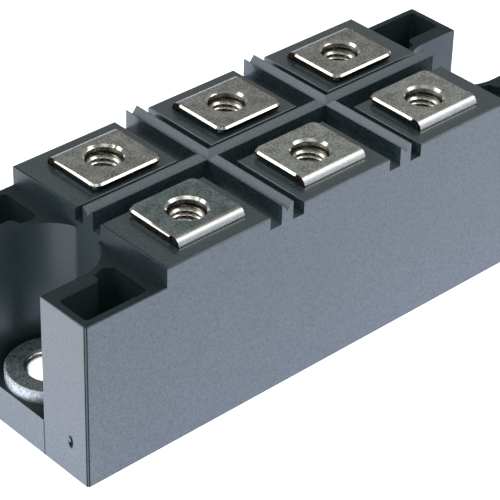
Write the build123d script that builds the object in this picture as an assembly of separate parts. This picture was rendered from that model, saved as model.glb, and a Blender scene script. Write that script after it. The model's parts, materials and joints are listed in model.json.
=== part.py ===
from build123d import *
import os

# Diode module with six screw terminals, lying on its cooling face. X runs along the module, Y across
# it and Z up. The origin is the middle of the cooling face. "near" is -Y and "left" is -X.
# All sizes in millimetres.

# Overall envelope
LENGTH = 94.0
WIDTH = 33.0
PAD_Z = 29.8            # top of the six terminal pads
SHOULDER_DROP = 3.0     # shoulders at both ends lie this far below the pads
CORNER_R = 0.5          # upright outer corners
EDGE_R = 0.25           # moulded top edges

# Fixing holes in the end flanges
HOLE_INSET = 7.0        # hole centre to the end
HOLE_D = 6.5
FLANGE_Z = 6.1          # top of the flange floor in the recess
BLOCK_INSET = 6.9       # hole centre to the raised block that carries the pads
BUSH_GAP = 0.3          # bush to the block's end wall
RECESS_GAP = 0.6        # bush to the recess wall, room for the driver
BUSH_RISE = 2.0         # height of the bush above the flange floor
BUSH_EDGE = 0.25        # bevel around its top
BUSH_MOUTH = 0.7        # bevel at the mouth of its hole

# Cooling plate let into the underside
PLATE_T = 3.0
PLATE_PROUD = 0.1       # the plate stands below the housing, so that it meets the cooler first
SKIRT = 1.2             # housing wall around the plate
PLATE_CORNER_R = 2.0

# Terminal grid and the barrier ribs between the pads
TERM_INSET_X = 10.1     # hole centre to the block's end
TERM_INSET_Y = 7.7      # hole centre to the housing's side
RIB_W = 2.1
RIB_RISE = 1.0          # ribs stand above the pads
RIB_GROOVE = 1.1        # depth of the V along each rib
RIB_LIP = 0.15          # flat left on each side of the V
CROSS_SLOT_W = 2.1      # slots beside the ribs that run across
LONG_SLOT_W = 1.65      # slots beside the rib that runs lengthwise
SLOT_DEPTH = 2.0

# Hollows in the shoulders
POCKET_RIM = 1.1        # wall to the outside
POCKET_WEB = 0.9        # wall to the round part of the recess
POCKET_LEDGE = 2.35     # wall to the raised block
POCKET_DEPTH = 18.0
POCKET_R = 0.6
POCKET_NOSE_R = 1.5     # corner between the ledge and the recess wall
MOUTH_WEB = 2.4         # wall to the straight part of the recess
MOUTH_WEB_IN = 1.4      # it starts this far inside the hole's centre
MOUTH_WEB_R = 1.2

# Room inside the housing
WALL = 1.6
ROOF_T = 3.5

# Screw terminals: strip bent over the nut
TERM_W = 12.2
TERM_T = 1.0
TERM_LIFT = 0.3         # gap between the strip and the pad
TERM_REACH_IN = 5.6     # hole centre to the free edge
TERM_REACH_OUT = 5.2    # hole centre to the outer face of the leg
TERM_CORNER_R = 1.3
TERM_HOLE_D = 5.5
TERM_HOLE_EDGE = 0.35
BEND_R = 1.3
BEND_INNER_R = 0.3
BEND_RELIEF = 0.2       # the bend is narrower than the plate by this on each side
NECK_W = 5.0
NECK_BELOW_PAD = 6.0    # the leg narrows this far below the pad
FOOT_REACH = 3.6
LEG_CLEAR = 0.1
LEG_CLEAR_IN = 0.2      # the leg's slot runs into the nut's seat

# Captive nuts, M5
NUT_AF = 8.0
NUT_H = 4.0
NUT_BORE_D = 4.2
NUT_BEVEL = 0.5         # the top rim's corners are cut back by this height
NUT_CLEAR = 0.1
NUT_GAP = 0.1           # nut to the underside of the strip
WELL_D = 5.6            # room for the screw's tip below the nut
WELL_DEPTH = 6.5
BOSS_WALL = 1.5

# Electrical stack on the cooling plate, one for each pair of terminals
TILE_CLEAR_X = 0.3      # tile to the room's end wall
TILE_CLEAR_Y = 0.2      # tile to the room's side walls
TILE_T = 0.6
TRACK_T = 0.3
TRACK_EDGE = 0.4        # bare ceramic around the tracks
TRACK_GAP = 1.0
ANODE_TRACK_Y = 8.0
DIE_SIDE = 9.0
DIE_T = 0.3
DIE_Y = 2.0
STRAP_W = 6.0
STRAP_T = 0.5
STRAP_FOOT = 2.4
STRAP_RISE = 1.8
STRAP_SLOPE = 1.6       # how far the arch leans out on its way up

# Fill
GEL_T = 6.5
RESIN_T = 5.0

HOLE_X = LENGTH / 2 - HOLE_INSET
BLOCK_LENGTH = 2 * (HOLE_X - BLOCK_INSET)
TERM_PITCH_X = BLOCK_LENGTH / 2 - TERM_INSET_X
TERM_Y = WIDTH / 2 - TERM_INSET_Y
BUSH_D = 2 * (BLOCK_INSET - BUSH_GAP)
RECESS_R = BUSH_D / 2 + RECESS_GAP
SHOULDER_Z = PAD_Z - SHOULDER_DROP
SLOT_Z = PAD_Z - SLOT_DEPTH
RIB_Z = PAD_Z + RIB_RISE
ROOF_Z = PAD_Z - ROOF_T
STRIP_Z = PAD_Z + TERM_LIFT
BUSH_Z = FLANGE_Z + BUSH_RISE
NUT_Z = STRIP_Z - NUT_GAP - NUT_H
BOSS_Z = NUT_Z - WELL_DEPTH - BOSS_WALL
ROOM_X = BLOCK_LENGTH - 2 * WALL
ROOM_Y = WIDTH - 2 * WALL
TILE_X = 2 * (TERM_INSET_X - WALL - TILE_CLEAR_X)
TILE_Y = ROOM_Y - 2 * TILE_CLEAR_Y
TILE_Z = PLATE_T
TRACK_Z = TILE_Z + TILE_T
DIE_Z = TRACK_Z + TRACK_T
STRAP_Z = DIE_Z + DIE_T
GEL_Z = PLATE_T + GEL_T
COLUMNS = {"left": -TERM_PITCH_X, "middle": 0.0, "right": TERM_PITCH_X}
SIDES = (-1, 1)
HAIR = 0.01             # edges this close to a place count as there
BELOW = (Align.CENTER, Align.CENTER, Align.MIN)


def block(size_x, size_y, z_low, z_high, x=0.0, y=0.0):
    """Upright block between two heights."""
    return Pos(x, y, z_low) * Box(size_x, size_y, z_high - z_low, align=BELOW)


def rod(diameter, z_low, z_high, x=0.0, y=0.0):
    """Upright cylinder between two heights."""
    return Pos(x, y, z_low) * Cylinder(diameter / 2, z_high - z_low, align=BELOW)


def rounded(size_x, size_y, radius, z_low, z_high):
    """Upright block with round corners."""
    outline = RectangleRounded(size_x, size_y, radius)
    return extrude(Pos(0, 0, z_low) * outline, z_high - z_low)


def at(edges, axis, place):
    """Edges that lie at a place along an axis."""
    return edges.filter_by_position(axis, place - HAIR, place + HAIR)


def across(points, width):
    """Extrudes a Y-Z outline to both sides of the X-Z middle plane's normal."""
    face = Plane.YZ * make_face(Polyline(*points, close=True))
    return extrude(face, width / 2, both=True)


def raised_body():
    """Shoulders with the block on top, before anything is cut out."""
    low = rounded(LENGTH, WIDTH, CORNER_R, PLATE_PROUD, SHOULDER_Z)
    rim = at(low.edges(), Axis.Z, SHOULDER_Z)
    low = fillet(rim, EDGE_R)
    high = block(BLOCK_LENGTH, WIDTH, PLATE_PROUD + CORNER_R, PAD_Z)
    return low + high


def rib_slots():
    """Slots on both sides of each rib."""
    cut = Part()
    for side in SIDES:
        cut += block(BLOCK_LENGTH, LONG_SLOT_W, SLOT_Z, PAD_Z, 0, side * (RIB_W + LONG_SLOT_W) / 2)
        for rib in SIDES:
            x = rib * TERM_PITCH_X / 2 + side * (RIB_W + CROSS_SLOT_W) / 2
            cut += block(CROSS_SLOT_W, WIDTH, SLOT_Z, PAD_Z, x)
    return cut


def rib_groove(length):
    """V cut for the top of a rib that runs along X."""
    half = RIB_W / 2 - RIB_LIP
    face = Plane.YZ * make_face(Polyline((-half, RIB_Z), (half, RIB_Z), (0, RIB_Z - RIB_GROOVE), close=True))
    return extrude(face, length / 2, both=True)


def end_recess():
    """U-shaped room over the right-hand fixing hole, flat where it meets the block."""
    depth_x = LENGTH / 2 - HOLE_X
    well = rod(2 * RECESS_R, FLANGE_Z, RIB_Z, HOLE_X)
    mouth = block(depth_x, 2 * RECESS_R, FLANGE_Z, RIB_Z, HOLE_X + depth_x / 2)
    keep = block(BLOCK_LENGTH, WIDTH, FLANGE_Z, RIB_Z)
    return well + mouth - keep


def shoulder_pocket():
    """Hollow in the right-hand far shoulder, with the recess wall bulging into it."""
    low_x = BLOCK_LENGTH / 2 + POCKET_LEDGE
    high_x = LENGTH / 2 - POCKET_RIM
    high_y = WIDTH / 2 - POCKET_RIM
    web_x = HOLE_X - MOUTH_WEB_IN
    web_y = RECESS_R + MOUTH_WEB
    round_y = RECESS_R + POCKET_WEB
    floor_z = SHOULDER_Z - POCKET_DEPTH
    room = block(high_x - low_x, high_y, floor_z, SHOULDER_Z, (low_x + high_x) / 2, high_y / 2)
    room -= rod(2 * round_y, floor_z, SHOULDER_Z, HOLE_X)
    room -= block(high_x - web_x, 2 * web_y, floor_z, SHOULDER_Z, (high_x + web_x) / 2)
    nose = room.edges().filter_by(Axis.Z).filter_by_position(Axis.Y, 0, round_y)
    room = fillet(at(nose, Axis.X, low_x), POCKET_NOSE_R)
    step = at(room.edges().filter_by(Axis.Z), Axis.Y, web_y)
    room = fillet(at(step, Axis.X, web_x), MOUTH_WEB_R)
    outer = at(room.edges().filter_by(Axis.Z), Axis.Y, high_y)
    room = fillet(outer, POCKET_R)
    end = at(room.edges().filter_by(Axis.Z), Axis.Y, web_y)
    return fillet(at(end, Axis.X, high_x), POCKET_R)


def nut_boss():
    """Block under the roof that holds one near nut and joins the side wall."""
    half = NUT_AF / 2 + NUT_CLEAR + BOSS_WALL
    to_wall = TERM_INSET_Y - WALL
    return block(2 * half, half + to_wall, BOSS_Z, ROOF_Z, 0, (half - to_wall) / 2)


def nut_seat():
    """Hexagonal seat with the well for the screw's tip."""
    hexagon = RegularPolygon(NUT_AF / 2 + NUT_CLEAR, 6, major_radius=False)
    seat = extrude(Pos(0, 0, NUT_Z) * hexagon, PAD_Z - NUT_Z)
    return seat + rod(WELL_D, NUT_Z - WELL_DEPTH, NUT_Z)


def leg_slot():
    """Slot in the roof for the leg of a near terminal, seen from the hole's centre."""
    width = TERM_W - 2 * BEND_RELIEF + 2 * LEG_CLEAR
    outer = TERM_REACH_OUT + LEG_CLEAR
    inner = TERM_REACH_OUT - TERM_T - LEG_CLEAR_IN
    return block(width, outer - inner, BOSS_Z, PAD_Z, 0, -(outer + inner) / 2)


def place(shape, x, side):
    """Puts a shape made for a near terminal at its column, turned round for the far row."""
    turned = shape if side < 0 else Rot(0, 0, 180) * shape
    return Pos(x, side * TERM_Y, 0) * turned


def housing():
    """Moulded housing: block, ribs, end recesses, pockets, room inside and nut seats."""
    body = raised_body() - rib_slots()
    pads = at(body.edges(), Axis.Z, PAD_Z)
    body = fillet(pads, EDGE_R)
    cross_rib = block(RIB_W, WIDTH, ROOF_Z, RIB_Z)
    body += block(BLOCK_LENGTH, RIB_W, ROOF_Z, RIB_Z)
    for side in SIDES:
        body += Pos(side * TERM_PITCH_X / 2, 0, 0) * cross_rib
    body -= rib_groove(BLOCK_LENGTH)
    for side in SIDES:
        body -= Pos(side * TERM_PITCH_X / 2, 0, 0) * Rot(0, 0, 90) * rib_groove(WIDTH)

    for turn in (0, 180):
        body -= Rot(0, 0, turn) * end_recess()
        for flip in (False, True):
            pocket = mirror(shoulder_pocket(), Plane.XZ) if flip else shoulder_pocket()
            body -= Rot(0, 0, turn) * pocket
        body -= rod(BUSH_D, 0, RIB_Z, HOLE_X * (1 if turn else -1))

    plate_x, plate_y = LENGTH - 2 * SKIRT, WIDTH - 2 * SKIRT
    body -= rounded(plate_x, plate_y, PLATE_CORNER_R, 0, PLATE_T)
    body -= block(ROOM_X, ROOM_Y, 0, ROOF_Z)
    for x in COLUMNS.values():
        for side in SIDES:
            body += place(nut_boss(), x, side)
    for x in COLUMNS.values():
        for side in SIDES:
            body -= place(nut_seat(), x, side)
            body -= place(leg_slot(), x, side)
    return body


def base_plate():
    """Cooling plate with the two fixing holes."""
    plate = rounded(LENGTH - 2 * SKIRT, WIDTH - 2 * SKIRT, PLATE_CORNER_R, 0, PLATE_T)
    for side in SIDES:
        plate -= rod(HOLE_D, 0, PLATE_T, side * HOLE_X)
    return plate


def mounting_bush(side):
    """Metal bush that takes the screw's clamping force past the housing."""
    bush = rod(BUSH_D, PLATE_T, BUSH_Z)
    rim = at(bush.edges(), Axis.Z, BUSH_Z)
    bush = chamfer(rim, BUSH_EDGE)
    mouth = Cone(HOLE_D / 2, HOLE_D / 2 + BUSH_MOUTH, BUSH_MOUTH, align=BELOW)
    bush -= rod(HOLE_D, PLATE_T, BUSH_Z) + Pos(0, 0, BUSH_Z - BUSH_MOUTH) * mouth
    return Pos(side * HOLE_X, 0, 0) * bush


def terminal():
    """Near terminal about its hole: plate over the nut, bend, leg, and foot on the track."""
    top = STRIP_Z + TERM_T
    outer = -TERM_REACH_OUT
    inner = outer + TERM_T
    foot_end = outer + FOOT_REACH
    points = [
        (TERM_REACH_IN, STRIP_Z), (TERM_REACH_IN, top), (outer, top), (outer, DIE_Z),
        (foot_end, DIE_Z), (foot_end, DIE_Z + TERM_T), (inner, DIE_Z + TERM_T), (inner, STRIP_Z),
    ]
    strip = across(points, TERM_W)
    along = strip.edges().filter_by(Axis.X)
    outside = at(along, Axis.Y, outer)
    strip = fillet(outside, BEND_R)
    along = strip.edges().filter_by(Axis.X)
    inside = at(along, Axis.Y, inner)
    strip = fillet(inside, BEND_INNER_R)

    relief_y = outer + BEND_R + BEND_INNER_R
    neck_z = PAD_Z - NECK_BELOW_PAD
    for side in SIDES:
        notch_x = TERM_W / 2 - BEND_RELIEF / 2
        notch_y = (outer + relief_y) / 2
        strip -= block(BEND_RELIEF, relief_y - outer, 0, top, side * notch_x, notch_y)
        spare = (TERM_W - NECK_W) / 2
        strip -= block(spare, 2 * TERM_REACH_OUT, 0, neck_z, side * (NECK_W + spare) / 2, outer)
    free = at(strip.edges().filter_by(Axis.Z), Axis.Y, TERM_REACH_IN)
    strip = fillet(free, TERM_CORNER_R)

    strip -= rod(TERM_HOLE_D, STRIP_Z, top)
    rim = at(strip.edges().filter_by(GeomType.CIRCLE), Axis.Z, top)
    rim = rim.filter_by(lambda edge: abs(edge.radius - TERM_HOLE_D / 2) < EDGE_R)
    return chamfer(rim, TERM_HOLE_EDGE)


def nut():
    """M5 hexagon nut with a bevelled top rim and a plain bore at the thread's core."""
    hexagon = RegularPolygon(NUT_AF / 2, 6, major_radius=False)
    body = extrude(Pos(0, 0, NUT_Z) * hexagon, NUT_H)
    rim = at(body.edges(), Axis.Z, NUT_Z + NUT_H)
    body = chamfer(rim, NUT_BEVEL / 2, NUT_BEVEL)
    return body - rod(NUT_BORE_D, NUT_Z, NUT_Z + NUT_H)


def strap():
    """Arched strap from the top of the die to the anode track."""
    far_end = DIE_Y + STRAP_FOOT / 2
    near_end = -TILE_Y / 2 + TRACK_EDGE + ANODE_TRACK_Y
    land = near_end - STRAP_FOOT
    crown = STRAP_Z + STRAP_RISE
    start = far_end - STRAP_FOOT
    under = [
        (far_end, STRAP_Z), (start, STRAP_Z), (start - STRAP_SLOPE, crown),
        (near_end + STRAP_SLOPE, crown), (near_end, DIE_Z), (land, DIE_Z),
    ]
    over = [
        (land, DIE_Z + STRAP_T), (near_end - STRAP_T / 2, DIE_Z + STRAP_T),
        (near_end + STRAP_SLOPE - STRAP_T / 2, crown + STRAP_T),
        (start - STRAP_SLOPE + STRAP_T / 2, crown + STRAP_T),
        (start + STRAP_T / 2, STRAP_Z + STRAP_T), (far_end, STRAP_Z + STRAP_T),
    ]
    return across(under + over, STRAP_W)


def stack():
    """Pieces of one electrical stack, centred on its column."""
    track_x = TILE_X - 2 * TRACK_EDGE
    near_edge = -TILE_Y / 2 + TRACK_EDGE
    far_edge = TILE_Y / 2 - TRACK_EDGE
    split = near_edge + ANODE_TRACK_Y
    cathode_y = far_edge - split - TRACK_GAP
    return {
        "ceramic_tile": block(TILE_X, TILE_Y, TILE_Z, TRACK_Z),
        "anode_track": block(track_x, ANODE_TRACK_Y, TRACK_Z, DIE_Z, 0, (near_edge + split) / 2),
        "cathode_track": block(track_x, cathode_y, TRACK_Z, DIE_Z, 0, far_edge - cathode_y / 2),
        "diode_die": block(DIE_SIDE, DIE_SIDE, DIE_Z, STRAP_Z, 0, DIE_Y),
        "anode_strap": strap(),
    }


def fill(z_low, z_high, buried):
    """Fill between two heights, cast around the pieces in it."""
    cast = block(ROOM_X, ROOM_Y, z_low, z_high)
    for piece in buried:
        cast -= piece
    return cast


def assembly():
    """All pieces by name."""
    pieces = {"housing": housing(), "base_plate": base_plate()}
    pieces["mounting_bush_left"] = mounting_bush(-1)
    pieces["mounting_bush_right"] = mounting_bush(1)
    buried = []
    for column, x in COLUMNS.items():
        for name, shape in stack().items():
            pieces[f"{name}_{column}"] = Pos(x, 0, 0) * shape
            buried.append(pieces[f"{name}_{column}"])
        for row, side in (("near", -1), ("far", 1)):
            pieces[f"terminal_{row}_{column}"] = place(terminal(), x, side)
            buried.append(pieces[f"terminal_{row}_{column}"])
    nuts = [place(nut(), x, side) for x in COLUMNS.values() for side in SIDES]
    pieces["terminal_nuts"] = Compound(children=nuts)
    pieces["silicone_gel"] = fill(PLATE_T, GEL_Z, buried)
    pieces["sealing_resin"] = fill(GEL_Z, GEL_Z + RESIN_T, buried)
    return pieces


os.makedirs("parts", exist_ok=True)
for name, shape in assembly().items():
    export_step(shape, f"parts/{name}.step")
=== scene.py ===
import json
import math

import bmesh
import bpy
import numpy as np
from mathutils import Matrix, Vector


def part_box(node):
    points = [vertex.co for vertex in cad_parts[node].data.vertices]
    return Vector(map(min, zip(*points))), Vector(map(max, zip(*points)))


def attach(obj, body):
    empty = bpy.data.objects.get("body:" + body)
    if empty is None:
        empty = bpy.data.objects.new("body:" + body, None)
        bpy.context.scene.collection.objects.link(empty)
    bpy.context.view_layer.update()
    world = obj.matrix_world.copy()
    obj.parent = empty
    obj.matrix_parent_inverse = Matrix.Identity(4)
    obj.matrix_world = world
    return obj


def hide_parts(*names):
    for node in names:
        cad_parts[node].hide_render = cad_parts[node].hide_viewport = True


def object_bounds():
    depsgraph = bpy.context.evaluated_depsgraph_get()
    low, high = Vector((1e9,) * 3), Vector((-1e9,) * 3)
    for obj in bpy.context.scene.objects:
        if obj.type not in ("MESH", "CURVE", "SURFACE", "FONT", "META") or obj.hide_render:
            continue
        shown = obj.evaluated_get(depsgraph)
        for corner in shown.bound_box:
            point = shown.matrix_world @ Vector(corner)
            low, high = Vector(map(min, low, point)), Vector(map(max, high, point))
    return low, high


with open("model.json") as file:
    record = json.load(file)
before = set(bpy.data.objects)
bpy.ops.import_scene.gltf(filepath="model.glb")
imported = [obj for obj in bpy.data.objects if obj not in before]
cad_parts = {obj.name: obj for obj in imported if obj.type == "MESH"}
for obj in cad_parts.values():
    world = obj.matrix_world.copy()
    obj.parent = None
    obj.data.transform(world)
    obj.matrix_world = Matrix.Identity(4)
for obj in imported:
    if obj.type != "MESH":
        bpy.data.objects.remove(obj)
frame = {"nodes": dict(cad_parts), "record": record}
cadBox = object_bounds()
record = frame["record"]
mm = 0.001
body = "root"      # the module has no joints, so everything rides on one body
print("frame loaded:", len(frame["nodes"]), "nodes")


def linear(hexText):
    # sRGB hex to linear: c/12.92 below 0.04045, else ((c + 0.055)/1.055)^2.4
    c = np.array([int(hexText[i:i + 2], 16) for i in (1, 3, 5)]) / 255
    c = np.where(c <= 0.04045, c / 12.92, ((c + 0.055) / 1.055) ** 2.4)
    return (*c.tolist(), 1.0)


def inUse(sockets):
    return [socket for socket in sockets if not socket.is_unavailable]


def add(tree, kind, inputs=(), stops=(), **settings):
    # one shader node; its inputs come in the order of the sockets in use, or by name, each of them a number,
    # a vector, a hex colour, another node or one of its outputs; stops are a colour ramp's (place, hex) marks
    node = tree.nodes.new("ShaderNode" + kind)
    for name, value in settings.items():
        setattr(node, name, value)
    for place, colour in stops[2:]:
        node.color_ramp.elements.new(place)
    for mark, (place, colour) in zip(node.color_ramp.elements if stops else (), stops):
        mark.position = place
        mark.color = linear(colour)
    sockets = inUse(node.inputs)
    for key, value in inputs.items() if isinstance(inputs, dict) else enumerate(inputs):
        socket = node.inputs[key] if isinstance(key, str) else sockets[key]
        if isinstance(value, bpy.types.Node):
            value = inUse(value.outputs)[0]
        if isinstance(value, bpy.types.NodeSocket):
            tree.links.new(value, socket)
        else:
            socket.default_value = linear(value) if isinstance(value, str) else value
    return node


def newMaterial(name):
    mat = bpy.data.materials.new(name)
    mat.use_nodes = True
    mat.node_tree.nodes.clear()
    return mat, mat.node_tree


# Camera: fitted to the corners of the module in the photograph
cameraSet = {
    "heading": 46.58,      # degrees from +X towards +Y
    "tilt": 34.45,         # degrees downwards
    "roll": 1.67,          # degrees
    "distance": 343.4,     # mm from the aim point
    "aim": (-1.77, 7.75),  # mm right and up of the origin
    "lens": 164.2,         # mm, on a sensor of this width in mm
    "sensor": 36,
    "clip": (0.01, 20),    # m
}


def makeCamera(c):
    heading, tilt, roll = (math.radians(c[k]) for k in ("heading", "tilt", "roll"))
    level = Vector((math.cos(heading), math.sin(heading), 0)) * math.cos(tilt)
    ahead = level - Vector((0, 0, math.sin(tilt)))
    right = ahead.cross(Vector((0, 0, 1))).normalized()
    up = right.cross(ahead)
    turned = right * math.cos(roll) + up * math.sin(roll)
    raised = up * math.cos(roll) - right * math.sin(roll)
    spot = turned * c["aim"][0] + raised * c["aim"][1] - ahead * c["distance"]
    data = bpy.data.cameras.new("studio_camera")
    data.lens, data.sensor_width = c["lens"], c["sensor"]
    data.clip_start, data.clip_end = c["clip"]
    camera = bpy.data.objects.new("studio_camera", data)
    bpy.context.scene.collection.objects.link(camera)
    turn = Matrix((turned, raised, -ahead)).transposed().to_4x4()
    camera.matrix_world = Matrix.Translation(spot * mm) @ turn
    bpy.context.scene.camera = camera


makeCamera(cameraSet)
bpy.context.scene.view_settings.view_transform = "Standard"
print("camera ready")


# Studio: a luminous white table lights the upright faces from below and ends near the module, so that
# hollows and upper risers stay dark. The ceiling is dim, with a soft glow behind the module that the flat
# metal mirrors. Two softboxes stand where the bends and the ribs' facets mirror them, three more where the
# holes' rims and the plates' corners do, and two where the nuts' threads do.
studioSet = {
    "table": "#f2f3f4",
    "tableGlow": 0.9,             # white of the table for the camera
    "tableMirror": (1.06, 1.27),  # the same in reflections, beside the module and past its left end
    "mirrorFall": (35, 0.82),     # mm beside the module over which its reflections dim, and to what
    "holeGlow": 2.8,              # times as bright under the module, where only the fixing holes mirror it
    "tableLight": (1.85, 3.4),    # light that the table gives the module, at the same two places
    "tableColour": ("#e0e6ff", "#f2f0ff"),
    "tableReach": (30, 110),      # mm beside the module between which that light falls off
    "tableHalf": 6.0,             # m
    "under": 0.01,                # mm beside the module up to which a spot counts as under it
    "leftFrom": (0.9, 1.3),       # times the half length between which the first turns to the second
    "ceiling": 0.235,
    "ceilingColour": "#e2f3f1",
    "back": 0.34,                 # ceiling behind the module
    "backColour": "#fafaf8",
    "backFrom": (0.35, 0.85),     # cosines off the camera's heading between which the one turns to the other
    "lampAim": (0, 0, 0.015),     # m
    "lamps": {                    # place in m, size in m, watts, colour
        "right_softbox": ((0.46, -0.46, 0.40), (0.45, 0.60), 0.70, "#eef4fc"),
        "back_softbox": ((-0.50, 0.45, 0.34), (0.40, 0.40), 0.72, "#eef4ff"),
        "left_softbox": ((-0.62, 0.02, 0.52), (0.36, 0.30), 0.6, "#fffaf2"),
        "front_softbox": ((0.02, -0.62, 0.52), (0.36, 0.30), 0.45, "#fbfaf8"),
        "high_softbox": ((-0.36, -0.37, 0.62), (0.60, 0.22), 0.6, "#fffaf4"),
        "right_thread_light": ((0.50, -0.29, 0.62), (0.50, 0.36), 0.9, "#fffaf2"),
        "back_thread_light": ((-0.32, 0.49, 0.62), (0.50, 0.36), 0.9, "#fffaf2"),
    },
}


def makeRoom(s):
    world = bpy.data.worlds.new("low_walls")
    bpy.context.scene.world = world
    world.use_nodes = True
    tree = world.node_tree
    tree.nodes.clear()
    direction = add(tree, "TexCoord").outputs["Generated"]
    heading = math.radians(cameraSet["heading"])
    ahead = (math.cos(heading), math.sin(heading), 0)
    behind = add(tree, "VectorMath", [direction, ahead], operation="DOT_PRODUCT")
    back = add(tree, "MapRange", [behind, *s["backFrom"], 0.0, 1.0])
    tint = add(tree, "Mix", [back, s["ceilingColour"], s["backColour"]], data_type="RGBA")
    level = add(tree, "MapRange", [back, 0.0, 1.0, s["ceiling"], s["back"]])
    room = add(tree, "Background", [tint, level])
    white = add(tree, "Background", ["#ffffff", 1.0])
    path = add(tree, "LightPath").outputs
    seen = add(tree, "MixShader", [path["Is Camera Ray"], room, white])
    add(tree, "OutputWorld", {"Surface": seen})


def makeTable(s):
    mat, tree = newMaterial("luminous_white_table")
    paper = add(tree, "BsdfDiffuse", {"Color": s["table"]})
    path = add(tree, "LightPath").outputs
    viewed = add(tree, "Math", [path["Is Camera Ray"], path["Is Transmission Ray"]], operation="MAXIMUM")
    where = add(tree, "TexCoord").outputs["Object"]
    # distance beside the module = |max(|p| - half size, 0)|
    folded = add(tree, "VectorMath", [where], operation="ABSOLUTE")
    past = add(tree, "VectorMath", [folded, (cadBox[1].x, cadBox[1].y, 0)], operation="SUBTRACT")
    beside = add(tree, "VectorMath", [past, (0, 0, 0)], operation="MAXIMUM")
    distance = add(tree, "VectorMath", [beside], operation="LENGTH")
    alongX = add(tree, "SeparateXYZ", [where]).outputs["X"]
    left = add(tree, "MapRange", [alongX, *(cadBox[0].x * share for share in s["leftFrom"]), 0.0, 1.0])

    near = add(tree, "MapRange", [distance, *(reach * mm for reach in s["tableReach"]), 1.0, 0.0])
    light = add(tree, "MapRange", [left, 0.0, 1.0, *s["tableLight"]])
    light = add(tree, "Math", [near, light], operation="MULTIPLY")
    fall, dimmed = s["mirrorFall"]
    dimming = add(tree, "MapRange", [distance, 0.0, fall * mm, 1.0, dimmed])
    image = add(tree, "MapRange", [left, 0.0, 1.0, *s["tableMirror"]])
    image = add(tree, "Math", [image, dimming], operation="MULTIPLY")
    under = add(tree, "Math", [distance, s["under"] * mm], operation="LESS_THAN")
    boost = add(tree, "MapRange", [under, 0.0, 1.0, 1.0, s["holeGlow"]])
    image = add(tree, "Math", [image, boost], operation="MULTIPLY")

    level = add(tree, "Mix", [path["Is Glossy Ray"], light, image])
    level = add(tree, "Mix", [viewed, level, s["tableGlow"]])
    tint = add(tree, "Mix", [left, *s["tableColour"]], data_type="RGBA")
    tint = add(tree, "Mix", [viewed, tint, "#ffffff"], data_type="RGBA")
    glow = add(tree, "Emission", {"Color": tint, "Strength": level})
    add(tree, "OutputMaterial", {"Surface": add(tree, "AddShader", [paper, glow])})

    mesh = bpy.data.meshes.new("table")
    half = s["tableHalf"]
    corners = [(-half, -half, 0), (half, -half, 0), (half, half, 0), (-half, half, 0)]
    mesh.from_pydata(corners, [], [(0, 1, 2, 3)])
    mesh.materials.append(mat)
    table = bpy.data.objects.new("table", mesh)
    bpy.context.scene.collection.objects.link(table)


def makeLamps(s):
    for name, (place, size, watts, colour) in s["lamps"].items():
        data = bpy.data.lights.new(name, "AREA")
        data.shape, data.size, data.size_y = "RECTANGLE", *size
        data.energy, data.color = watts, linear(colour)[:3]
        lamp = bpy.data.objects.new(name, data)
        bpy.context.scene.collection.objects.link(lamp)
        lamp.location = place
        lamp.rotation_mode = "QUATERNION"
        lamp.rotation_quaternion = (Vector(s["lampAim"]) - Vector(place)).to_track_quat("-Z", "Y")


makeRoom(studioSet)
makeTable(studioSet)
makeLamps(studioSet)
print("studio ready")


def perMm(size):
    # noise scale on object coordinates in metres, for marks of this size in mm
    return 1 / (size * mm)


# Glass-filled polyester, injection moulded: dark slate under a glossy resin skin, which mirrors the table on
# the upright faces, with a spark-eroded grain. The real grain is some 0.05 mm wide and too fine to show, so it
# is drawn as 0.32 mm. The upright corners get a dark, dead matt band of painted shade, a fine dark line runs
# down from the recess's edge, and the left end shows the gate where the plastic was let in.
mouldSet = {
    "cloud": 14, "cloudStops": (0.3, 0.7),       # mm, slow change between the dark and the light tone
    "grain": 0.32, "grainFray": 0.65,            # mm
    "grainDepth": 0.018, "grainStrength": 0.7,   # mm
    "grainStops": (0.36, 0.5, 0.64), "grainColours": ("#d6d6d6", "#ffffff"),   # after the speckles' own
    "roughness": 0.34, "roughnessSpread": (-0.06, 0.08),
    "skinRoughness": 0.17, "skinTint": "#e8f4ff", "refraction": 1.6,
    "markColour": "#0c1014", "markTint": "#181818", "markRoughness": 0.9,
    # the upright corners' dark band is painted shade
    "corner": (46.6, 16.1), "cornerBand": 0.08,  # mm from the middle where the corners' band begins
    "outerEdge": 16.2,                           # mm from the middle past which edges stay dark
    "lineUnderRecess": ((46.9, 7.0, -1), (47.1, 7.25, 6.0)), "lineUnderRecessShare": 0.7,      # box in mm
    "gate": ((-47.0, -12.9, 5.9), (1, 0.62, 1.20)),                      # place and half sizes in mm
    "gateBright": ((-47.0, -12.66, 6.1), (1, 0.30, 0.45)),
    "spotEdge": 0.7,                             # share of a spot's size from which it fades
}


def inBox(tree, point, low, high):
    # 1 inside a box given in mm, else 0: the largest share of |p - middle| in the half sizes is under 1
    low, high = Vector(low) * mm, Vector(high) * mm
    offset = add(tree, "VectorMath", [point, (low + high) / 2], operation="SUBTRACT")
    share = add(tree, "VectorMath", [offset, (high - low) / 2], operation="DIVIDE")
    share = add(tree, "VectorMath", [share], operation="ABSOLUTE")
    shares = add(tree, "SeparateXYZ", [share]).outputs
    largest = add(tree, "Math", [shares["X"], shares["Y"]], operation="MAXIMUM")
    largest = add(tree, "Math", [largest, shares["Z"]], operation="MAXIMUM")
    return add(tree, "Math", [largest, 1.0], operation="LESS_THAN")


def inSpot(tree, point, spot):
    # 1 inside an ellipsoid, fading to 0 over its outer third: the length of (p - middle)/half sizes
    middle, sizes = (Vector(part) * mm for part in spot)
    offset = add(tree, "VectorMath", [point, middle], operation="SUBTRACT")
    share = add(tree, "VectorMath", [offset, sizes], operation="DIVIDE")
    share = add(tree, "VectorMath", [share], operation="LENGTH")
    return add(tree, "MapRange", [share, mouldSet["spotEdge"], 1.0, 1.0, 0.0])


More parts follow.
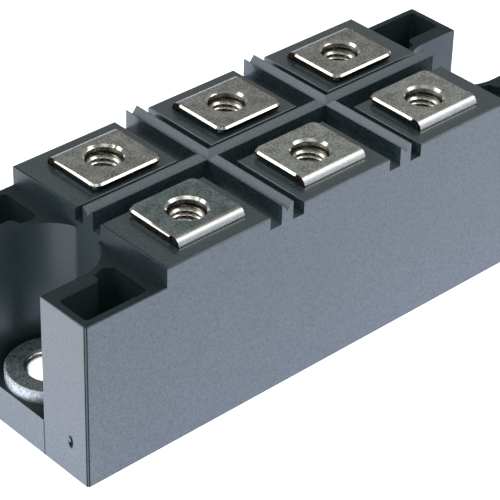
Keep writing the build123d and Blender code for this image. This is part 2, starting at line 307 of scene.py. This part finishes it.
def paintedShadeAndMarks(tree, where):
    # dark marks: painted shade in a band on the upright corners, a line under the recess, a crescent at the
    # gate
    p = mouldSet
    folded = add(tree, "VectorMath", [where], operation="ABSOLUTE")
    far = add(tree, "SeparateXYZ", [folded]).outputs
    past = [add(tree, "Math", [far[axis], p["corner"][axis] * mm], operation="SUBTRACT") for axis in (0, 1)]
    inset = add(tree, "Math", past, operation="MINIMUM")
    corner = add(tree, "MapRange", [inset, 0.0, p["cornerBand"] * mm, 0.0, 1.0])
    lineUnderRecess = add(tree, "Math", [inBox(tree, folded, *p["lineUnderRecess"]), p["lineUnderRecessShare"]], operation="MULTIPLY")
    spots = [inSpot(tree, where, p[name]) for name in ("gate", "gateBright")]
    gate = add(tree, "Math", spots, operation="SUBTRACT")
    either = add(tree, "Math", [gate, lineUnderRecess], operation="MAXIMUM")
    return add(tree, "Math", [corner, either], operation="MAXIMUM")


def outerEdges(tree, where):
    # 1 on the edges of the outline's long sides, which get painted shade
    folded = add(tree, "VectorMath", [where], operation="ABSOLUTE")
    far = add(tree, "SeparateXYZ", [folded]).outputs["Y"]
    return add(tree, "Math", [far, mouldSet["outerEdge"] * mm], operation="GREATER_THAN")


def mouldedPolyester(name, dark, light, skin=1.0, marks=None, speckled="#6c6c6c", duller=0.0, specular=0.5):
    # colour = slow clouds times fine speckles; marks tells where the surface is dark and dead matt
    p = mouldSet
    mat, tree = newMaterial(name)
    where = add(tree, "TexCoord").outputs["Object"]
    cloud = add(tree, "TexNoise", {"Vector": where, "Scale": perMm(p["cloud"]), "Detail": 3.0})
    grain = add(tree, "TexNoise", {"Vector": where, "Scale": perMm(p["grain"]), "Detail": 3.0,
                                   "Roughness": p["grainFray"]})
    tone = add(tree, "ValToRGB", [cloud], stops=[*zip(p["cloudStops"], (dark, light))])
    speckle = add(tree, "ValToRGB", [grain], stops=[*zip(p["grainStops"], (speckled, *p["grainColours"]))])
    colour = add(tree, "Mix", [1.0, tone, speckle], data_type="RGBA", blend_type="MULTIPLY")
    spread = (p["roughness"] + duller + step for step in p["roughnessSpread"])
    rough = add(tree, "MapRange", [grain, 0.3, 0.7, *spread])
    gleam = p["skinTint"]
    if marks:
        dead = marks(tree, where)
        colour = add(tree, "Mix", [dead, colour, p["markColour"]], data_type="RGBA")
        gleam = add(tree, "Mix", [dead, gleam, p["markTint"]], data_type="RGBA")
        skin = add(tree, "Math", [skin, dead], operation="SUBTRACT")
        rough = add(tree, "Mix", [dead, rough, p["markRoughness"]])
    bump = add(tree, "Bump", {"Height": grain, "Strength": p["grainStrength"],
                              "Distance": p["grainDepth"] * mm})
    shader = add(tree, "BsdfPrincipled", {
        "Base Color": colour, "Roughness": rough, "IOR": p["refraction"], "Specular IOR Level": specular,
        "Specular Tint": gleam, "Normal": bump, "Coat Weight": skin, "Coat IOR": p["refraction"],
        "Coat Roughness": p["skinRoughness"] + duller, "Coat Normal": bump})
    add(tree, "OutputMaterial", {"Surface": shader})
    return mat


# Copper strip and steel with satin nickel plate: bright, with faint rolling lines and a fine mottling. The
# lines are some 0.02 mm apart and drawn as 0.12 mm, so that they show.
plateSet = {
    "line": 0.12, "lineLength": 6.0, "blotch": 2.2, "mottle": 0.35, "depth": 0.007,   # mm
    "mottleFray": 0.7, "mottleShare": 0.7, "mottleStops": (0.40, 0.58),
    "roughnessFrom": (0.12, 0.4), "roughnessSpread": (-0.07, 0.09),
    "rowColour": ("#f6feff", "#e8ecee"), "rowEdge": 4,      # near and far row, mm from the middle line
    "darkestPlate": (-23, -8.8, 30.9), "darkPlateReach": (5, 12), "darkPlateColour": "#b2c8cf",      # mm
    "bend": (12.7, 13.1), "bendShare": 0.75, "bendColour": "#e0dcda",   # mm from the middle line
    "grooveShadeColour": "#3a352e",
}


def plateTones(tree, where, colour):
    # the near row is a cooler grey than the far row, its left plate the darkest, and the bends lighter
    p = plateSet
    across = add(tree, "SeparateXYZ", [where]).outputs["Y"]
    row = add(tree, "MapRange", [across, -p["rowEdge"] * mm, p["rowEdge"] * mm, 0.0, 1.0])
    tint = add(tree, "Mix", [row, *p["rowColour"]], data_type="RGBA")
    away = add(tree, "VectorMath", [where, Vector(p["darkestPlate"]) * mm], operation="DISTANCE")
    darkened = add(tree, "MapRange", [away, *(reach * mm for reach in p["darkPlateReach"]), 1.0, 0.0])
    tint = add(tree, "Mix", [darkened, tint, p["darkPlateColour"]], data_type="RGBA")
    colour = add(tree, "Mix", [1.0, colour, tint], data_type="RGBA", blend_type="MULTIPLY")
    folded = add(tree, "VectorMath", [where], operation="ABSOLUTE")
    outward = add(tree, "SeparateXYZ", [folded]).outputs["Y"]
    bend = add(tree, "MapRange", [outward, *(place * mm for place in p["bend"]), 0.0, 1.0])
    bend = add(tree, "Math", [bend, p["bendShare"]], operation="MULTIPLY")
    return add(tree, "Mix", [bend, colour, p["bendColour"]], data_type="RGBA")


def shadedGrooves(tree, where, colour, axis, crest, groove):
    # painted shade in the threads: darker from the crest's radius to the groove's, around each nut's axis
    folded = add(tree, "VectorMath", [where], operation="ABSOLUTE")
    flat = add(tree, "VectorMath", [folded, (1, 1, 0)], operation="MULTIPLY")
    radii = [add(tree, "VectorMath", [flat, (x * mm, axis[1] * mm, 0)], operation="DISTANCE")
             for x in (0, axis[0])]
    radius = add(tree, "Math", radii, operation="MINIMUM")
    deep = add(tree, "MapRange", [radius, crest * mm, groove * mm, 0.0, 1.0])
    return add(tree, "Mix", [deep, colour, plateSet["grooveShadeColour"]], data_type="RGBA")


def nickelPlate(name, base, dark, roughness, lines, toned=False, grooveShading=None):
    p = plateSet
    mat, tree = newMaterial(name)
    where = add(tree, "TexCoord").outputs["Object"]
    stretch = add(tree, "Mapping", {"Vector": where, "Scale": (1.0, p["line"] / p["lineLength"], 1.0)})
    rolled = add(tree, "TexNoise", {"Vector": stretch, "Scale": perMm(p["line"]), "Detail": 2.0})
    blotch = add(tree, "TexNoise", {"Vector": where, "Scale": perMm(p["blotch"]), "Detail": 5.0})
    mottle = add(tree, "TexNoise", {"Vector": where, "Scale": perMm(p["mottle"]), "Detail": 3.0,
                                    "Roughness": p["mottleFray"]})
    mixed = add(tree, "Mix", [p["mottleShare"], blotch, mottle])
    colour = add(tree, "ValToRGB", [mixed], stops=[*zip(p["mottleStops"], (dark, base))])
    if toned:
        colour = plateTones(tree, where, colour)
    if grooveShading:
        colour = shadedGrooves(tree, where, colour, *grooveShading)
    patches = add(tree, "Math", [rolled, blotch], operation="MULTIPLY")
    spread = (roughness + step for step in p["roughnessSpread"])
    rough = add(tree, "MapRange", [patches, *p["roughnessFrom"], *spread])
    height = add(tree, "Math", [rolled, mottle], operation="ADD")
    bump = add(tree, "Bump", {"Height": height, "Strength": lines, "Distance": p["depth"] * mm})
    shader = add(tree, "BsdfPrincipled", {"Base Color": colour, "Metallic": 1.0, "Roughness": rough,
                                          "Normal": bump})
    add(tree, "OutputMaterial", {"Surface": shader})
    return mat


# Turned and zinc-plated steel: matt and mottled outside, with a smooth bore and mouth that mirror the table
# below. The turning marks are some 0.1 mm apart and drawn as 0.25 mm, so that they show.
bushFinish = {
    "axis": 40.0, "mouth": (3.86, 3.95),   # mm: x of the hole's axis, radii between which smooth turns to matt
    "ring": 0.25, "fleck": 0.4, "fleckFray": 0.7, "depth": 0.01, "strength": 0.7,   # mm
    "zinc": ((0.36, "#9ca6ab"), (0.5, "#d3dade"), (0.62, "#eef3f5")), "matt": (0.42, 0.62),
    "smooth": "#f6f6f4", "smoothRoughness": 0.12,
}


def turnedSteel(name, p):
    mat, tree = newMaterial(name)
    where = add(tree, "TexCoord").outputs["Object"]
    folded = add(tree, "VectorMath", [where], operation="ABSOLUTE")
    flat = add(tree, "VectorMath", [folded, (1, 1, 0)], operation="MULTIPLY")
    radius = add(tree, "VectorMath", [flat, (p["axis"] * mm, 0, 0)], operation="DISTANCE")
    outside = add(tree, "MapRange", [radius, *(edge * mm for edge in p["mouth"]), 0.0, 1.0])
    turned = add(tree, "TexNoise", {"W": radius, "Scale": perMm(p["ring"]), "Detail": 2.0},
                 noise_dimensions="1D")
    fleck = add(tree, "TexNoise", {"Vector": where, "Scale": perMm(p["fleck"]), "Detail": 4.0,
                                   "Roughness": p["fleckFray"]})
    zinc = add(tree, "ValToRGB", [fleck], stops=p["zinc"])
    colour = add(tree, "Mix", [outside, p["smooth"], zinc], data_type="RGBA")
    matt = add(tree, "MapRange", [fleck, 0.3, 0.7, *p["matt"]])
    rough = add(tree, "Mix", [outside, p["smoothRoughness"], matt])
    height = add(tree, "Math", [turned, fleck], operation="ADD")
    height = add(tree, "Math", [outside, height], operation="MULTIPLY")
    bump = add(tree, "Bump", {"Height": height, "Strength": p["strength"], "Distance": p["depth"] * mm})
    shader = add(tree, "BsdfPrincipled", {"Base Color": colour, "Metallic": 1.0, "Roughness": rough,
                                          "Normal": bump})
    add(tree, "OutputMaterial", {"Surface": shader})
    return mat


# Pieces sealed inside: plain finishes with a little variation each, whose size is in mm
innerSet = {"stops": (0.3, 0.7), "strength": 0.4, "depth": 0.01}


def innerFinish(name, low, high, size, roughness, metallic=0.0, clear=0.0):
    p = innerSet
    mat, tree = newMaterial(name)
    where = add(tree, "TexCoord").outputs["Object"]
    noise = add(tree, "TexNoise", {"Vector": where, "Scale": perMm(size), "Detail": 4.0})
    colour = add(tree, "ValToRGB", [noise], stops=[*zip(p["stops"], (low, high))])
    bump = add(tree, "Bump", {"Height": noise, "Strength": p["strength"], "Distance": p["depth"] * mm})
    shader = add(tree, "BsdfPrincipled", {"Base Color": colour, "Metallic": metallic, "Roughness": roughness,
                                          "Transmission Weight": clear, "Normal": bump})
    add(tree, "OutputMaterial", {"Surface": shader})
    return mat


# Each slot's own finish
finishes = {
    "housing_plastic": mouldedPolyester("moulded_polyester_slate", "#3a4b51", "#405259", marks=paintedShadeAndMarks),
    "terminal_nickel": nickelPlate("satin_nickel_plate", "#eeebe4", "#9c9993",
                                   roughness=0.27, lines=0.5, toned=True),
    "plate_nickel": nickelPlate("nickel_plated_copper", "#dcd8cf", "#c8c4bb", roughness=0.22, lines=0.8),
    # the outer nuts' axes from the middle, then the radii of the thread's crest and groove between which the
    # painted shade deepens, in mm
    "nut_steel": nickelPlate("plated_nut_steel", "#f4efe8", "#e2dcd2",
                             roughness=0.20, lines=0.2, grooveShading=((23.0, 8.8), 2.28, 2.5)),
    "bush_steel": turnedSteel("turned_zinc_plate", bushFinish),
    # warm white and chalky
    "ceramic": innerFinish("fired_alumina", "#dcd9d0", "#ebe9e2", size=1.5, roughness=0.7),
    # orange and half matt
    "copper": innerFinish("bare_copper", "#b5673f", "#c9794e", size=3.0, roughness=0.35, metallic=1.0),
    # blue black and glossy
    "silicon": innerFinish("polished_silicon", "#1d1f26", "#2a2d36", size=4.0, roughness=0.18),
    # hazy, light shines through it
    "gel": innerFinish("silicone_gel", "#cfd6d6", "#dfe6e6", size=6.0, roughness=0.2, clear=0.7),
    # black with a soft gloss
    "resin": innerFinish("cast_epoxy", "#141517", "#1e2023", size=5.0, roughness=0.3),
}
# The plastic in the hollows has less of the glossy skin and is darker, as painted shade: the floors are the
# dullest, the walls gleam a little
dullShadedFloor = mouldedPolyester("dull_shaded_polyester_on_floors", "#28353a", "#313f45", skin=0.3, speckled="#b8b8b8",
                             duller=0.25, specular=0.16)
shadedWall = mouldedPolyester("shaded_polyester_on_walls", "#2a3b3f", "#34474b", skin=0.45, speckled="#b8b8b8",
                            duller=0.15)
# More finishes of a slot's piece. First its edges: lighter plastic as a painted highlight, dark on the long
# sides as painted shade, and polished nickel made lighter as a painted highlight. Then the hollows' plastic,
# darker as painted shade, and the strip's sheared sides, brown copper darkened as painted shade.
extra = {
    "housing_plastic": (
        mouldedPolyester("polyester_edge_highlight_and_shade", "#b8c4cb", "#d2dbe0", marks=outerEdges), dullShadedFloor, shadedWall),
    "terminal_nickel": (
        nickelPlate("polished_nickel_edge_highlight", "#f4efe6", "#e2dcd2", roughness=0.16, lines=0.3),
        # sheared sides: the brown of bare copper, darkened nearly to black as painted shade
        nickelPlate("sheared_strip_side_shade", "#4b433a", "#241f1a", roughness=0.45, lines=0.8)),
}
print("finishes ready:", len(finishes) + sum(len(more) for more in extra.values()))


slotOf = {part["node"]: part["material_slot"] for part in record["subparts"]}
for name, obj in frame["nodes"].items():
    obj.data.materials.clear()
    obj.data.materials.append(finishes[slotOf[name]])


# A moulded or pressed piece has no sharp edges: its node's flat faces are made whole and its edges bevelled.
# choose(middle in mm, normal) tells a face's material. The edges for which chamfered(middle in mm) is true get
# a flat chamfer, and all the sharp edges are rounded after that where rounding is not 0. Sizes are in mm.
softSet = {
    "joined": 0.002,     # mm, corners closer than this are one
    "flat": 0.5,         # degrees, faces that turn less are one
    "sharpFrom": 35,     # degrees from which an edge is bevelled
    "creasedFrom": 30,   # degrees from which an edge of a chamfered piece is shaded as a crease
    "segments": 2,       # of a rounded edge
}


def softened(nodeName, rounding=0.0, choose=None, chamfer=0.0, chamfered=None, cut=None):
    sharpFrom = math.radians(softSet["sharpFrom"])
    source = frame["nodes"][nodeName]
    mesh = bpy.data.meshes.new(nodeName + "_soft")
    for material in (finishes[slotOf[nodeName]], *extra.get(slotOf[nodeName], ())):
        mesh.materials.append(material)
    work = bmesh.new()
    work.from_mesh(source.data)
    bmesh.ops.remove_doubles(work, verts=work.verts, dist=softSet["joined"] * mm)
    bmesh.ops.dissolve_limit(work, angle_limit=math.radians(softSet["flat"]), verts=work.verts,
                             edges=work.edges)
    for face in work.faces:
        face.smooth = True
        face.material_index = choose(face.calc_center_median() / mm, face.normal) if choose else 0
    if cut:
        # a cut across the strip before its bend, where the chamfers end
        everything = [*work.verts, *work.edges, *work.faces]
        bmesh.ops.bisect_plane(work, geom=everything, plane_co=(0, cut * mm, 0), plane_no=(0, 1, 0))
    if chamfer:
        edges = [e for e in work.edges if e.calc_face_angle(0) > sharpFrom
                 and chamfered((e.verts[0].co + e.verts[1].co) / 2 / mm)]
        bmesh.ops.bevel(work, geom=edges, offset=chamfer * mm, segments=1, affect="EDGES",
                        material=min(1, len(mesh.materials) - 1))
    work.to_mesh(mesh)
    work.free()
    piece = bpy.data.objects.new(nodeName + "_soft", mesh)
    bpy.context.scene.collection.objects.link(piece)
    if chamfer:
        mesh.set_sharp_from_angle(angle=math.radians(softSet["creasedFrom"]))
    if rounding:
        bevel = piece.modifiers.new("bevelled_edges", "BEVEL")
        bevel.width, bevel.segments = rounding * mm, softSet["segments"]
        bevel.limit_method, bevel.angle_limit = "ANGLE", sharpFrom
        bevel.material = 1 if len(mesh.materials) > 1 else -1
    piece.modifiers.new("flat_faces_stay_flat", "WEIGHTED_NORMAL").keep_sharp = True
    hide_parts(nodeName)
    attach(piece, body)


# Housing: the shoulders and hollows beyond the pads, within these mm from the middle, get the duller plastics,
# darkened as painted shade
housingSet = {"rounding": 0.15, "along": (32.9, 46.9), "across": 16.4, "above": 3, "floorFrom": 0.5}


def housingFace(middle, normal):
    # 2 on the floors and shoulders beyond the pads, 3 on the walls there, 0 on the outer faces, pads and ribs
    h = housingSet
    start, end = h["along"]
    inside = start < abs(middle.x) < end and abs(middle.y) < h["across"] and middle.z > h["above"]
    return 0 if not inside else 2 if normal.z > h["floorFrom"] else 3


softened("housing", housingSet["rounding"], housingFace)

# Bushes: a chamfer at the mouth of each hole, which leads the screw in
bushSet = {"rounding": 0.06, "chamfer": 0.6, "axis": 40, "mouthRadius": 3.5, "mouthAbove": 5}


def atMouth(middle):
    b = bushSet
    beside = Vector((abs(middle.x), middle.y)) - Vector((b["axis"], 0))
    return middle.z > b["mouthAbove"] and beside.length < b["mouthRadius"]


for nodeName in ("mounting_bush_left", "mounting_bush_right"):
    softened(nodeName, bushSet["rounding"], chamfer=bushSet["chamfer"], chamfered=atMouth)

# Terminals: the strip's upper and lower edges are chamfered up to its bend and its sides were sheared. The
# chamfers and the countersink round the hole get a lighter nickel as a painted highlight, the sides a near
# black as painted shade
terminalSet = {"chamfer": 0.27, "chamferEnd": 12.1, "holeRadius": 3.3, "countersink": (0.3, 0.9), "side": 0.9}


def softenTerminal(nodeName):
    t = terminalSet
    low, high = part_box(nodeName)
    hole = next(Vector(m["pos_m"]) / mm for m in record["mounts"] if m["kind"] == "threaded_hole"
                and low.x < m["pos_m"][0] < high.x and low.y < m["pos_m"][1] < high.y)
    outward = math.copysign(1, hole.y)

    def nearHole(middle):
        return (middle - hole).to_2d().length < t["holeRadius"]

    def stripFace(middle, normal):
        # 1 on the countersink, 2 on the sides and the inner end, else 0
        if nearHole(middle):
            return 1 if t["countersink"][0] < normal.z < t["countersink"][1] else 0
        return 2 if max(abs(normal.x), -normal.y * outward) > t["side"] else 0

    def beforeBend(middle):
        return not nearHole(middle) and abs(middle.y) < t["chamferEnd"]

    softened(nodeName, choose=stripFace, chamfer=t["chamfer"], cut=t["chamferEnd"] * outward,
             chamfered=beforeBend)


for row in ("near", "far"):
    for column in ("left", "middle", "right"):
        softenTerminal(f"terminal_{row}_{column}")
print("housing and bushes rounded, terminals chamfered")


# Captive nuts: hexagon with bevelled corners and a real M5 thread
nutSet = {
    "across": 8.0,                          # mm over the flats
    "pitch": 0.8, "core": 2.07, "crest": 2.5, "mouth": 2.65, "mouthDepth": 0.2,   # mm, radii
    "threadSlope": 1.3, "threadFlat": 0.15,  # steepness of the flanks and share of the flat root
    "bevelStart": 0.05, "bevelAngle": 60,   # mm inside the flats at each face, and degrees
    "around": 72, "along": 64, "flatSteps": 18,   # points round the axis, up the bore and down the flats
    "creasedFrom": 40,                      # degrees
}


def nutSurface(n, low, high):
    # rows run up the bore, over the top, down the flats and back under; columns run round the axis.
    # radius = thread on the bore, else the lesser of the hexagon and the cone that bevels its corners;
    # thread = core to crest along a zigzag of height/pitch - angle/turn; hexagon = half width/cos(angle off
    # the flat's middle)
    steps = n["along"]
    bore = np.linspace(low + n["mouthDepth"], high - n["mouthDepth"], steps)
    z = np.concatenate([[low], bore, [high, high], np.linspace(high, low, n["flatSteps"]), [low]])
    turn = np.linspace(0, 2 * np.pi, n["around"], endpoint=False)
    height, angle = np.meshgrid(z, turn, indexing="ij")
    wave = np.abs(((height / n["pitch"] - angle / (2 * np.pi)) % 1) * 2 - 1)
    share = np.clip(wave * n["threadSlope"] - n["threadFlat"], 0, 1)
    thread = n["core"] + (n["crest"] - n["core"]) * share
    flat = (n["across"] / 2) / np.cos((angle % (np.pi / 3)) - np.pi / 6)
    toEnd = np.minimum(high - height, height - low)
    cone = n["across"] / 2 - n["bevelStart"] + toEnd * math.tan(math.radians(n["bevelAngle"]))
    rows = np.arange(len(z))[:, None]
    radius = np.where(rows <= steps, thread, np.minimum(flat, cone))
    mouthRows = (rows == 0) | (rows == steps + 1) | (rows == len(z) - 1)
    radius = np.where(mouthRows, n["mouth"], radius)
    return np.stack([radius * np.cos(angle), radius * np.sin(angle), height], -1)


def gridFaces(rowCount, columnCount, first):
    # quads of a grid closed both ways
    r, c = np.meshgrid(np.arange(rowCount), np.arange(columnCount), indexing="ij")
    r2, c2 = (r + 1) % rowCount, (c + 1) % columnCount
    corners = ((r, c), (r, c2), (r2, c2), (r2, c))
    quads = np.stack([row * columnCount + column for row, column in corners], -1)
    return quads.reshape(-1, 4) + first


def makeNuts(n):
    low, high = (corner.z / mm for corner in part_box("terminal_nuts"))
    shape = nutSurface(n, low, high)
    points, faces = [], []
    for mount in record["mounts"]:
        if mount["kind"] == "threaded_hole":
            centre = np.array(mount["pos_m"][:2] + [0.0])
            faces.append(gridFaces(*shape.shape[:2], sum(len(p) for p in points)))
            points.append(shape.reshape(-1, 3) * mm + centre)
    mesh = bpy.data.meshes.new("threaded_nuts")
    mesh.from_pydata(np.concatenate(points).tolist(), [], np.concatenate(faces).tolist())
    mesh.validate()
    work = bmesh.new()
    work.from_mesh(mesh)
    bmesh.ops.recalc_face_normals(work, faces=work.faces)
    work.to_mesh(mesh)
    work.free()
    mesh.shade_smooth()
    mesh.set_sharp_from_angle(angle=math.radians(n["creasedFrom"]))
    nuts = bpy.data.objects.new("threaded_nuts", mesh)
    bpy.context.scene.collection.objects.link(nuts)
    mesh.materials.append(finishes["nut_steel"])
    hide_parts("terminal_nuts")
    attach(nuts, body)
    print("nuts threaded:", len(points))


makeNuts(nutSet)
